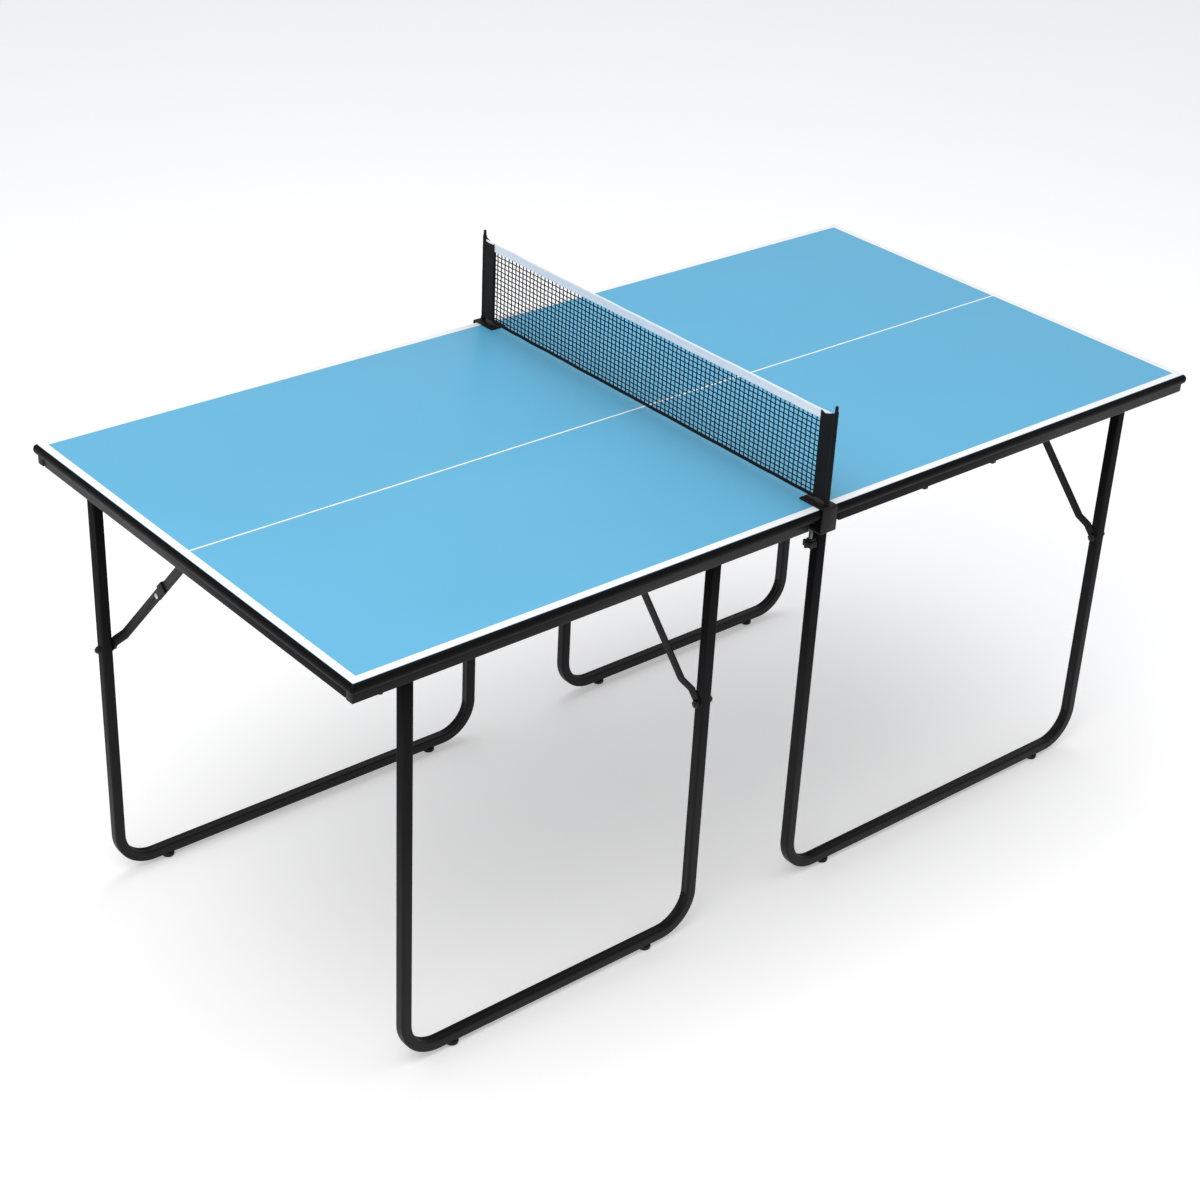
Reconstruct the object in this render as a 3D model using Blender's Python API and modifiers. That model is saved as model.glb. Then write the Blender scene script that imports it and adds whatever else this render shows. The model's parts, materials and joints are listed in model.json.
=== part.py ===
"""Midsize folding table tennis table: two half tables on folding U-legs, with a clamp-on net.

Metres, +Z up. X runs along the table, Y across it, and the origin is on the floor under the
middle of the net. Each half is modelled as the one at -X. The other is the same half turned
180 degrees about Z. In a half, the leg at +Y is the wide one and the leg at -Y nests inside it.
"""

import math

import bmesh
import bpy
from mathutils import Matrix, Vector

# Overall sizes
LENGTH = 1.68
WIDTH = 0.84
HEIGHT = 0.76
TOUCH = 0.0003  # gap left between pieces that rest on each other
CUT_PAST = 0.020  # how far a cutter runs past what it cuts

# Playing boards and the half-round moulding round their outer edges
BOARD_THICK = 0.016
SEAM = 0.001
BEAD_OUT = 0.006
BEAD_DROP = 0.0004  # top of the moulding below the playing surface
BEAD_BELOW = 0.0019  # bottom of the moulding below the board's underside
BEAD_FLAT = 0.0011  # flat left between its two roundings
BOARD_EASE = 0.0006

# Apron rails: rectangular steel tube under the board's edge
RAIL_WIDTH = 0.0155
RAIL_HEIGHT = 0.016
RAIL_WALL = 0.0012
RAIL_ROUND = 0.0018
RAIL_INSET = 0.0005
RAIL_SEAM_CUT = 0.032
RAIL_CORNER_GAP = 0.004

# U-legs: square steel tube
TUBE = 0.018
TUBE_WALL = 0.0012
TUBE_ROUND = 0.0035
BEND_RADIUS = 0.060
LEG_INSET = 0.085  # leg plane in from the board's edge
WIDE_OUTER_INSET = 0.044  # upright centre in from the board's end
WIDE_SEAM_INSET = 0.082  # upright centre back from the seam
NARROW_OUTER_INSET = 0.141
NARROW_SEAM_INSET = 0.137
PIVOT_BELOW_BOARD = 0.032  # leg hinge below the board's underside
TUBE_ABOVE_PIVOT = 0.012
BEND_STEPS = 6

# Feet
FOOT_HEIGHT = 0.008
FOOT_RADIUS = 0.0105
FOOT_FACE_RADIUS = 0.0080
FOOT_IN_FROM_UPRIGHT = 0.088

# Leg hinge brackets and pins
BRACKET_SHEET = 0.002
BRACKET_PLAY = 0.0004
BRACKET_LENGTH = 0.030
BRACKET_EAR_RADIUS = 0.0115
BRACKET_SHOULDER = 0.016  # square part of an ear, below the board
PIN_RADIUS = 0.003
PIN_HEAD_RADIUS = 0.0055
PIN_HEAD_THICK = 0.002
PIN_HEAD_EASE = 0.0008

# Folding braces: a lower bar on the leg and an upper bar on the table, meeting at a knee
BRACE_DOWN = 0.281  # bolt on the leg, below the leg's hinge
BRACE_ALONG = 0.255  # anchor under the table, from the leg's hinge
BAR_WIDTH = 0.016
BAR_THICK = 0.002
BAR_HOLE_RADIUS = 0.0028
BAR_END_ROUND = 0.0072
JOGGLE_STEP = 0.010
JOGGLE_START = 0.024
JOGGLE_RUN = 0.020
KNEE_TAIL = 0.031  # lower bar past the knee
LIP_LENGTH = 0.018
LIP_ROOT = 0.004  # how far the lip's web is welded on to the bar
ANCHOR_WIDTH = 0.024
ANCHOR_FLANGE = 0.026
ANCHOR_BELOW = 0.009  # ear past the anchor's pin hole

# Net set
CLAMP_WIDTH = 0.030
CLAMP_SHEET = 0.0025
CLAMP_REACH = 0.051
CLAMP_EDGE_GAP = 0.0005  # front plate off the edge moulding
CLAMP_ARM_BELOW_BOARD = 0.021  # top of the lower arm, below the board's underside
CLAMP_ARM_REACH = 0.047
CLAMP_BEND = 0.003
SCREW_IN = 0.035  # clamp screw, in from the front plate
SCREW_RADIUS = 0.003
SCREW_HOLE_PLAY = 0.0004
KNOB_RADIUS = 0.0108
KNOB_HEIGHT = 0.0105
KNOB_LOBES = 6
KNOB_LOBE_RISE = 0.0013  # a lobe's crest above the knob's mean radius
KNOB_BELOW_ARM = 0.0295
PAD_RADIUS = 0.0075
PAD_THICK = 0.004
POST_RADIUS = 0.0025
POST_IN = 0.0085  # post, in from the front plate's outer face
POST_ABOVE = 0.1625
POST_COLLAR_RADIUS = 0.0045
POST_COLLAR_HEIGHT = 0.005
POST_TIP_EASE = 0.001
NET_ABOVE = 0.1475
NET_CLEAR = 0.0045
NET_THICK = 0.0016
NET_POST_GAP = 0.001

# Derived heights and lines
BOARD_END = LENGTH / 2 - BEAD_OUT
BOARD_SIDE = WIDTH / 2 - BEAD_OUT
BOARD_BELOW = HEIGHT - BOARD_THICK
BEAD_HEIGHT = BOARD_THICK - BEAD_DROP + BEAD_BELOW
BEAD_ROUND = (BEAD_HEIGHT - BEAD_FLAT) / 2
RAIL_TOP = BOARD_BELOW - TOUCH
PIVOT_Z = BOARD_BELOW - PIVOT_BELOW_BOARD
LEG_Y = BOARD_SIDE - LEG_INSET
BAR_CENTRE_Z = FOOT_HEIGHT + TUBE / 2
BRACE_SPAN = math.hypot(BRACE_DOWN, BRACE_ALONG)
LOWER_LINK = (BRACE_SPAN + BRACE_DOWN - BRACE_ALONG) / 2  # folds flat with the leg
UPPER_LINK = BRACE_SPAN - LOWER_LINK
UPPER_PLANE = TOUCH + JOGGLE_STEP + BAR_THICK + TOUCH  # upper bar, off the upright's face
PLATE_OUTER = WIDTH / 2 + CLAMP_EDGE_GAP + CLAMP_SHEET  # outer face of the clamp's front plate
ARM_TOP = BOARD_BELOW - CLAMP_ARM_BELOW_BOARD

for old in list(bpy.data.objects):
    bpy.data.objects.remove(old, do_unlink=True)

TABLE = bpy.data.collections.new("ping_pong_table")
CUTTERS = bpy.data.collections.new("cutters")
for made in (TABLE, CUTTERS):
    bpy.context.scene.collection.children.link(made)


def material(name, colour, rough, metal=0.0):
    made = bpy.data.materials.new(name)
    made.use_nodes = True
    shader = made.node_tree.nodes["Principled BSDF"]
    shader.inputs["Base Color"].default_value = (*colour, 1.0)
    shader.inputs["Roughness"].default_value = rough
    shader.inputs["Metallic"].default_value = metal
    return made


BLUE_PAINT = material("blue_painted_fibreboard", (0.13, 0.43, 0.68), 0.45)
BLACK_PLASTIC = material("black_moulded_plastic", (0.012, 0.012, 0.013), 0.45)
BLACK_STEEL = material("black_powder_coated_steel", (0.014, 0.014, 0.015), 0.5)
BLACK_RUBBER = material("black_rubber", (0.01, 0.01, 0.01), 0.75)
ZINC = material("zinc_plated_steel", (0.55, 0.55, 0.57), 0.35, 1.0)
NETTING = material("black_netting", (0.02, 0.02, 0.022), 0.8)


def add(name, mesh, finish, parent=None, at=(0, 0, 0)):
    """Links a mesh as one of the table's pieces."""
    piece = bpy.data.objects.new(name, mesh)
    TABLE.objects.link(piece)
    mesh.materials.clear()
    mesh.materials.append(finish)
    mesh.shade_smooth()
    mesh.set_sharp_from_angle(angle=math.radians(32))
    piece.parent = parent
    piece.location = at
    return piece


def empty(name, at=(0, 0, 0), turn=0.0, parent=None):
    made = bpy.data.objects.new(name, None)
    made.empty_display_size = 0.03
    TABLE.objects.link(made)
    made.parent = parent
    made.location = at
    made.rotation_euler.z = turn
    return made


def mesh_of(work, name):
    mesh = bpy.data.meshes.new(name)
    bmesh.ops.recalc_face_normals(work, faces=work.faces)
    work.to_mesh(mesh)
    work.free()
    return mesh


def box_between(low, high):
    work = bmesh.new()
    bmesh.ops.create_cube(work, size=1.0)
    low, high = Vector(low), Vector(high)
    bmesh.ops.scale(work, vec=high - low, verts=work.verts)
    bmesh.ops.translate(work, vec=(low + high) / 2, verts=work.verts)
    return work


def round_edges(work, edges, radius, segments):
    bmesh.ops.bevel(
        work,
        geom=edges,
        offset=radius,
        offset_type="OFFSET",
        segments=segments,
        profile=0.5,
        affect="EDGES",
        material=-1,
        clamp_overlap=False,
    )


def along(edge, axis):
    ends = edge.verts[1].co - edge.verts[0].co
    return abs(ends.normalized()[axis]) > 0.999


def cut(piece, cutter, name, operation="DIFFERENCE"):
    """Keeps the cutter as a hidden wire helper, and cuts the piece with it."""
    tool = bpy.data.objects.new(name, cutter)
    CUTTERS.objects.link(tool)
    tool.parent = piece.parent
    tool.matrix_basis = piece.matrix_basis
    tool.hide_render = True
    tool.display_type = "WIRE"
    modifier = piece.modifiers.new(name, "BOOLEAN")
    modifier.operation = operation
    modifier.object = tool
    return tool


def rod(radius, length, axis, at, sides=16):
    """A cylinder centred at a point, along X or Z."""
    work = bmesh.new()
    turn = Matrix.Rotation(math.pi / 2, 4, "Y") if axis == "X" else Matrix.Identity(4)
    bmesh.ops.create_cone(
        work,
        cap_ends=True,
        segments=sides,
        radius1=radius,
        radius2=radius,
        depth=length,
        matrix=Matrix.Translation(at) @ turn,
    )
    return work


def turned(name, profile, finish, parent, at, steps=16, lying=False):
    """A turned piece. The profile runs from the axis at the top, down the outside, to the axis."""
    mesh = bpy.data.meshes.new(name)
    points = [(radius, 0.0, z) for radius, z in profile]
    mesh.from_pydata(points, [(i, i + 1) for i in range(len(points) - 1)], [])
    piece = add(name, mesh, finish, parent, at)
    screw = piece.modifiers.new("turn", "SCREW")
    screw.axis = "Z"
    screw.steps = steps
    screw.render_steps = steps
    screw.use_merge_vertices = True
    screw.merge_threshold = 0.00005
    if lying:
        piece.rotation_euler.y = math.pi / 2
    return piece


def outline_mesh(name, outlines, thick):
    """A flat plate in XY, centred in Z, from closed outlines, the later ones being its holes."""
    curve = bpy.data.curves.new(name, "CURVE")
    curve.dimensions = "2D"
    curve.fill_mode = "BOTH"
    curve.extrude = thick / 2
    for points in outlines:
        spline = curve.splines.new("POLY")
        spline.points.add(len(points) - 1)
        for slot, (x, y) in zip(spline.points, points):
            slot.co = (x, y, 0, 1)
        spline.use_cyclic_u = True
    return baked(curve, name)


def baked(curve, name):
    """The curve's evaluated surface as a welded mesh, with the curve removed."""
    holder = bpy.data.objects.new(name + "_curve", curve)
    bpy.context.scene.collection.objects.link(holder)
    graph = bpy.context.evaluated_depsgraph_get()
    mesh = bpy.data.meshes.new_from_object(holder.evaluated_get(graph))
    bpy.data.objects.remove(holder, do_unlink=True)
    bpy.data.curves.remove(curve)
    work = bmesh.new()
    work.from_mesh(mesh)
    bmesh.ops.remove_doubles(work, verts=work.verts, dist=0.00001)
    bpy.data.meshes.remove(mesh)
    return mesh_of(work, name)


def arc(centre, radius, start, end, steps):
    """Points on an arc, angles in degrees."""
    angles = [math.radians(start + (end - start) * i / steps) for i in range(steps + 1)]
    return [(centre[0] + radius * math.cos(a), centre[1] + radius * math.sin(a)) for a in angles]


def circle(centre, radius, steps=16):
    return arc(centre, radius, 0, 360, steps)[:-1]


def rounded_square(side, radius, steps):
    reach = side / 2 - radius
    corners = ((reach, reach, 0), (-reach, reach, 90), (-reach, -reach, 180), (reach, -reach, 270))
    return [p for x, y, a in corners for p in arc((x, y), radius, a, a + 90, steps)]


def make_board(half, name):
    """Painted fibreboard, square at the seam and at the outer edges."""
    work = box_between((-BOARD_END, -BOARD_SIDE, BOARD_BELOW), (-SEAM / 2, BOARD_SIDE, HEIGHT))
    round_edges(work, list(work.edges), BOARD_EASE, 1)
    add(name + "_board", mesh_of(work, "board"), BLUE_PAINT, half)


def make_moulding(half, name):
    """A half-round plastic moulding round the three outer edges of a board."""
    top = HEIGHT - BEAD_DROP
    work = box_between(
        (-LENGTH / 2, -WIDTH / 2, top - BEAD_HEIGHT), (-SEAM / 2, WIDTH / 2, top)
    )
    lengthwise = [edge for edge in work.edges if along(edge, 0)]
    at_end = [edge for edge in work.edges if along(edge, 1) and edge.verts[0].co.x < -SEAM]
    round_edges(work, lengthwise + at_end, BEAD_ROUND, 5)
    piece = add(name + "_edge_moulding", mesh_of(work, "moulding"), BLACK_PLASTIC, half)
    inside = box_between(
        (-BOARD_END - TOUCH, -BOARD_SIDE - TOUCH, BOARD_BELOW - CUT_PAST),
        (CUT_PAST, BOARD_SIDE + TOUCH, HEIGHT + CUT_PAST),
    )
    cut(piece, mesh_of(inside, "board_room"), name + "_board_room")


def tube_between(low, high, axis):
    """A rectangular tube with open ends, given by its outer box. Its wall is set by Solidify."""
    work = box_between(low, high)
    round_edges(work, [edge for edge in work.edges if along(edge, axis)], RAIL_ROUND, 2)
    ends = [face for face in work.faces if abs(face.normal[axis]) > 0.99]
    bmesh.ops.delete(work, geom=ends, context="FACES_ONLY")
    return mesh_of(work, "rail")


def add_wall(piece, wall):
    solid = piece.modifiers.new("wall", "SOLIDIFY")
    solid.thickness = wall
    solid.offset = -1.0
    solid.use_even_offset = True


def make_rails(half, name):
    """Two side rails that run to the table's end, and an end rail between them."""
    outer = BOARD_SIDE - RAIL_INSET
    end = BOARD_END - RAIL_INSET
    low, high = RAIL_TOP - RAIL_HEIGHT, RAIL_TOP
    for side, label in ((-1, "narrow_leg_side_rail"), (1, "wide_leg_side_rail")):
        ys = sorted((side * outer, side * (outer - RAIL_WIDTH)))
        mesh = tube_between((-end, ys[0], low), (-RAIL_SEAM_CUT, ys[1], high), 0)
        add_wall(add(f"{name}_{label}", mesh, BLACK_STEEL, half), RAIL_WALL)
    reach = outer - RAIL_WIDTH - RAIL_CORNER_GAP
    mesh = tube_between((-end, -reach, low), (-end + RAIL_WIDTH, reach, high), 1)
    add_wall(add(name + "_end_rail", mesh, BLACK_STEEL, half), RAIL_WALL)


def leg_path(span):
    """The tube's centre line in XZ from the leg's hinge line: down, a bend, the ground bar, up."""
    floor = BAR_CENTRE_Z - PIVOT_Z
    half_span = span / 2
    left, right = -half_span + BEND_RADIUS, half_span - BEND_RADIUS
    bends = arc((left, floor + BEND_RADIUS), BEND_RADIUS, 180, 270, BEND_STEPS)
    bends += arc((right, floor + BEND_RADIUS), BEND_RADIUS, 270, 360, BEND_STEPS)
    return [(-half_span, TUBE_ABOVE_PIVOT), *bends, (half_span, TUBE_ABOVE_PIVOT)]


def leg_tube(span):
    """An open-ended square tube swept along the leg's path."""
    section = bpy.data.curves.new("section", "CURVE")
    section.dimensions = "2D"
    section.fill_mode = "NONE"
    edge = section.splines.new("POLY")
    corners = rounded_square(TUBE, TUBE_ROUND, 2)
    edge.points.add(len(corners) - 1)
    for slot, (x, y) in zip(edge.points, corners):
        slot.co = (x, y, 0, 1)
    edge.use_cyclic_u = True
    holder = bpy.data.objects.new("tube_section", section)
    bpy.context.scene.collection.objects.link(holder)
    path = bpy.data.curves.new("leg_path", "CURVE")
    path.dimensions = "3D"
    path.bevel_mode = "OBJECT"
    path.bevel_object = holder
    line = path.splines.new("POLY")
    route = leg_path(span)
    line.points.add(len(route) - 1)
    for slot, (x, z) in zip(line.points, route):
        slot.co = (x, 0, z, 1)
    mesh = baked(path, "u_leg")
    bpy.data.objects.remove(holder, do_unlink=True)
    bpy.data.curves.remove(section)
    return mesh


def make_leg(half, name, kind, side, outer, inner, brace_at):
    """One U-leg with its feet, hinges and folding brace. Its empty is on the hinge line."""
    label = f"{name}_{kind}"
    middle, span = -(outer + inner) / 2, outer - inner
    axis = empty(label + "_leg_axis", (middle, side * LEG_Y, PIVOT_Z), parent=half)
    leg = add(label + "_leg", leg_tube(span), BLACK_STEEL, axis)
    add_wall(leg, TUBE_WALL)
    drill = rod(PIN_RADIUS + TOUCH, span + TUBE + CUT_PAST, "X", (0, 0, 0))
    cut(leg, mesh_of(drill, "pin_drill"), label + "_pin_drill")
    for x, where in ((-span / 2, "outer"), (span / 2, "seam")):
        foot_x = x - math.copysign(FOOT_IN_FROM_UPRIGHT, x)
        make_foot(f"{label}_{where}_foot", axis, (foot_x, 0, -PIVOT_Z))
        place = Vector((middle + x, side * LEG_Y, PIVOT_Z))
        make_bracket(f"{label}_{where}_bracket", half, place)
        make_pin(f"{label}_{where}_pin", half, place)
    upright = -outer if brace_at == "outer" else -inner
    inward = 1 if brace_at == "outer" else -1
    face = upright + inward * TUBE / 2
    make_brace(half, axis, label, side, Vector((face, side * LEG_Y, PIVOT_Z)), inward)


def make_foot(name, parent, at):
    """A plastic glide under the ground bar."""
    top = FOOT_HEIGHT - TOUCH
    profile = [
        (0, top),
        (FOOT_RADIUS * 0.8, top),
        (FOOT_RADIUS, top * 0.7),
        (FOOT_RADIUS, top * 0.3),
        (FOOT_FACE_RADIUS, 0),
        (0, 0),
    ]
    turned(name, profile, BLACK_PLASTIC, parent, at)


def make_bracket(name, half, pivot):
    """A U of sheet steel, screwed under the board, with an ear on each side of the leg tube."""
    across = TUBE / 2 + BRACKET_PLAY + BRACKET_SHEET
    top = BOARD_BELOW - TOUCH - pivot.z
    shoulder, end = top - BRACKET_SHOULDER, BRACKET_LENGTH / 2
    outline = [(-end, top), (-end, shoulder)]
    outline += arc((0, 0), BRACKET_EAR_RADIUS, 180, 360, 8)
    outline += [(end, shoulder), (end, top)]
    mesh = outline_mesh("bracket", [outline], 2 * across)
    mesh.transform(Matrix(((0, 0, 1, 0), (1, 0, 0, 0), (0, 1, 0, 0), (0, 0, 0, 1))))
    piece = add(name, mesh, BLACK_STEEL, half, pivot)
    slot_x = TUBE / 2 + BRACKET_PLAY
    below = -BRACKET_EAR_RADIUS - CUT_PAST
    room = box_between((-slot_x, -BRACKET_LENGTH, below), (slot_x, BRACKET_LENGTH, top - BRACKET_SHEET))
    cut(piece, mesh_of(room, "tube_room"), name + "_tube_room")
    drill = rod(PIN_RADIUS + TOUCH, 2 * across + CUT_PAST, "X", (0, 0, 0))
    cut(piece, mesh_of(drill, "pin_drill"), name + "_pin_drill")


def make_pin(name, half, pivot):
    """A hinge pin with a head outside each ear of its bracket."""
    reach = TUBE / 2 + BRACKET_PLAY + BRACKET_SHEET + TOUCH
    head = reach + PIN_HEAD_THICK
    profile = [
        (0, head),
        (PIN_HEAD_RADIUS * 0.7, head),
        (PIN_HEAD_RADIUS, head - PIN_HEAD_EASE),
        (PIN_HEAD_RADIUS, reach),
        (PIN_RADIUS, reach),
        (PIN_RADIUS, -reach),
        (PIN_HEAD_RADIUS, -reach),
        (PIN_HEAD_RADIUS, -head + PIN_HEAD_EASE),
        (PIN_HEAD_RADIUS * 0.7, -head),
        (0, -head),
    ]
    turned(name, profile, ZINC, half, pivot, lying=True)


def bar_frame(side, inward, at, upwards):
    """Local X along the brace, Z away from the upright's face. The brace leans inwards."""
    lean = Vector((0, -side * BRACE_ALONG, BRACE_DOWN)) / BRACE_SPAN
    out = Vector((inward, 0, 0))
    first = lean if upwards else -lean
    second = out.cross(first)
    return Matrix.Translation(at) @ Matrix((first, second, out)).transposed().to_4x4()


def make_brace(half, leg_axis, label, side, hinge, inward):
    """The lower bar turns on the leg, the upper bar on its anchor under the board."""
    bolt = hinge + Vector((0, 0, -BRACE_DOWN))
    anchor = hinge + Vector((0, -side * BRACE_ALONG, 0))
    lower = add(label + "_brace_lower_bar", lower_bar_mesh(), BLACK_STEEL, half)
    lower.parent = leg_axis
    lower.matrix_basis = Matrix.Translation(-leg_axis.location) @ bar_frame(side, inward, bolt, True)
    finish_lower_bar(lower, label)
    upper = add(label + "_brace_upper_bar", upper_bar_mesh(), BLACK_STEEL, half)
    upper.matrix_basis = bar_frame(side, inward, anchor, False)
    make_anchor(label + "_brace_anchor", half, anchor, inward)


def lower_bar_mesh():
    """A strap that steps out from the leg, with a lip past the knee that stops the upper bar."""
    low, high = TOUCH, TOUCH + JOGGLE_STEP
    bend = JOGGLE_START + JOGGLE_RUN
    tip = LOWER_LINK + KNEE_TAIL
    under = [(-BAR_WIDTH / 2, low), (JOGGLE_START, low), (bend, high), (tip, high)]
    over = [(x, z + BAR_THICK) for x, z in under]
    mesh = outline_mesh("lower_bar", [under + over[::-1]], BAR_WIDTH)
    mesh.transform(Matrix(((1, 0, 0, 0), (0, 0, -1, 0), (0, 1, 0, 0), (0, 0, 0, 1))))
    work = bmesh.new()
    work.from_mesh(mesh)
    ends = [e for e in work.edges if along(e, 2) and e.verts[0].co.x < 0]
    round_edges(work, ends, BAR_END_ROUND, 4)
    return mesh_of(work, "lower_bar")


def finish_lower_bar(lower, label):
    """The lip, welded on beside the upper bar's path, and the two pin holes."""
    end = LOWER_LINK + KNEE_TAIL
    outer, inner = -BAR_WIDTH / 2 - TOUCH - BAR_THICK, -BAR_WIDTH / 2 - TOUCH
    web = TOUCH + JOGGLE_STEP
    lip = box_between((end - LIP_LENGTH, outer, web), (end, inner, UPPER_PLANE + 2 * BAR_THICK))
    cut(lower, mesh_of(lip, "lip"), label + "_lip", "UNION")
    root = box_between((end - LIP_LENGTH, outer, web), (end, inner + LIP_ROOT, web + BAR_THICK))
    cut(lower, mesh_of(root, "lip_root"), label + "_lip_root", "UNION")
    for x, where in ((0, "bolt"), (LOWER_LINK, "knee")):
        drill = rod(BAR_HOLE_RADIUS, 2 * (web + CUT_PAST), "Z", (x, 0, 0), 12)
        cut(lower, mesh_of(drill, "bar_drill"), f"{label}_{where}_drill")


def upper_bar_mesh():
    """A flat strap with round ends, in the plane beside the lower bar."""
    half = BAR_WIDTH / 2
    outline = arc((0, 0), half, 90, 270, 8) + arc((UPPER_LINK, 0), half, -90, 90, 8)
    holes = [circle((0, 0), BAR_HOLE_RADIUS, 12), circle((UPPER_LINK, 0), BAR_HOLE_RADIUS, 12)]
    mesh = outline_mesh("upper_bar", [outline, *holes], BAR_THICK)
    mesh.transform(Matrix.Translation((0, 0, UPPER_PLANE + BAR_THICK / 2)))
    return mesh


def make_anchor(name, half, anchor, inward):
    """An angle of sheet steel under the board that carries the upper bar."""
    top = BOARD_BELOW - TOUCH - anchor.z
    near = UPPER_PLANE + BAR_THICK + TOUCH
    outline = [
        (near, -ANCHOR_BELOW),
        (near + BRACKET_SHEET, -ANCHOR_BELOW),
        (near + BRACKET_SHEET, top - BRACKET_SHEET),
        (near + ANCHOR_FLANGE, top - BRACKET_SHEET),
        (near + ANCHOR_FLANGE, top),
        (near, top),
    ]
    mesh = outline_mesh("anchor", [[(inward * x, z) for x, z in outline]], ANCHOR_WIDTH)
    mesh.transform(Matrix(((1, 0, 0, 0), (0, 0, -1, 0), (0, 1, 0, 0), (0, 0, 0, 1))))
    piece = add(name, mesh, BLACK_STEEL, half, anchor)
    drill = rod(BAR_HOLE_RADIUS, 2 * BRACKET_SHEET + CUT_PAST, "X", (inward * near, 0, 0), 12)
    cut(piece, mesh_of(drill, "anchor_drill"), name + "_drill")


def make_half(name, turn):
    half = empty(name, turn=turn)
    make_board(half, name)
    make_moulding(half, name)
    make_rails(half, name)
    wide = (BOARD_END - WIDE_OUTER_INSET, WIDE_SEAM_INSET, "outer")
    narrow = (BOARD_END - NARROW_OUTER_INSET, NARROW_SEAM_INSET, "seam")
    make_leg(half, name, "wide", 1, *wide)
    make_leg(half, name, "narrow", -1, *narrow)


def clamp_outline():
    """The C of the clamp in YZ: over the table's edge, down outside it and back under it."""
    out, sheet, bend = -PLATE_OUTER, CLAMP_SHEET, CLAMP_BEND
    top, bottom = HEIGHT + TOUCH + sheet, ARM_TOP - sheet
    outer = [(out + CLAMP_REACH, top)] + arc((out + bend, top - bend), bend, 90, 180, 3)
    outer += arc((out + bend, bottom + bend), bend, 180, 270, 3)
    outer += [(out + CLAMP_ARM_REACH, bottom), (out + CLAMP_ARM_REACH, ARM_TOP)]
    inner = [(out + sheet, ARM_TOP), (out + sheet, top - sheet)]
    return outer + inner + [(out + CLAMP_REACH, top - sheet)]


def make_clamp(label, turn):
    """A clamp over the edge at the seam, its screw and pad, and the net post on its top."""
    at_edge = empty(label + "_clamp_place", turn=turn)
    mesh = outline_mesh("clamp", [clamp_outline()], CLAMP_WIDTH)
    mesh.transform(Matrix(((0, 0, 1, 0), (1, 0, 0, 0), (0, 1, 0, 0), (0, 0, 0, 1))))
    clamp = add(label + "_net_clamp", mesh, BLACK_STEEL, at_edge)
    screw_y = -PLATE_OUTER + SCREW_IN
    drill = rod(SCREW_RADIUS + SCREW_HOLE_PLAY, CUT_PAST, "Z", (0, screw_y, ARM_TOP))
    cut(clamp, mesh_of(drill, "screw_drill"), label + "_screw_drill")
    pad_low = BOARD_BELOW - TOUCH - PAD_THICK
    profile = [
        (0, PAD_THICK),
        (PAD_RADIUS, PAD_THICK),
        (PAD_RADIUS, PAD_THICK * 0.3),
        (PAD_RADIUS * 0.8, 0),
        (0, 0),
    ]
    turned(label + "_clamp_pad", profile, BLACK_RUBBER, at_edge, (0, screw_y, pad_low))
    make_screw(label, at_edge, screw_y, pad_low - TOUCH)
    make_post(label, at_edge)


def make_screw(label, at_edge, y, top):
    """A stud with a lobed knob moulded on its lower end."""
    knob_top = ARM_TOP - KNOB_BELOW_ARM
    points = []
    for i in range(KNOB_LOBES * 6):
        angle = 2 * math.pi * i / (KNOB_LOBES * 6)
        radius = KNOB_RADIUS - KNOB_LOBE_RISE * (1 - math.cos(KNOB_LOBES * angle))
        points.append((radius * math.cos(angle), radius * math.sin(angle)))
    mesh = outline_mesh("knob", [points], KNOB_HEIGHT)
    place = (0, y, knob_top - KNOB_HEIGHT / 2)
    screw = add(label + "_clamp_screw", mesh, BLACK_PLASTIC, at_edge, place)
    length = top - screw.location.z
    stud = rod(SCREW_RADIUS, length, "Z", (0, 0, length / 2), 12)
    cut(screw, mesh_of(stud, "stud"), label + "_stud", "UNION")


def make_post(label, at_edge):
    """A steel rod that stands on the clamp and carries the net's sleeve."""
    low = HEIGHT + TOUCH + CLAMP_SHEET + TOUCH
    tall = HEIGHT + POST_ABOVE - low
    profile = [
        (0, tall),
        (POST_RADIUS * 0.7, tall),
        (POST_RADIUS, tall - POST_TIP_EASE),
        (POST_RADIUS, POST_COLLAR_HEIGHT),
        (POST_COLLAR_RADIUS, POST_COLLAR_HEIGHT),
        (POST_COLLAR_RADIUS, 0),
        (0, 0),
    ]
    turned(label + "_net_post", profile, BLACK_STEEL, at_edge, (0, -PLATE_OUTER + POST_IN, low), 12)


def make_net():
    """The net as one flat sheet between the posts."""
    reach = PLATE_OUTER - POST_IN - POST_COLLAR_RADIUS - NET_POST_GAP
    work = box_between(
        (-NET_THICK / 2, -reach, HEIGHT + NET_CLEAR), (NET_THICK / 2, reach, HEIGHT + NET_ABOVE)
    )
    add("net", mesh_of(work, "net"), NETTING)


make_half("left", 0.0)
make_half("right", math.pi)
make_clamp("near", 0.0)
make_clamp("far", math.pi)
make_net()
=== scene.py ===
"""The detailed pieces, finishes and studio of a folding ping pong table, round its frame."""

import json
import math

import bmesh
import bpy
from bpy.props import FloatProperty, FloatVectorProperty, IntProperty, PointerProperty
from mathutils import Matrix, Vector, noise

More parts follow.
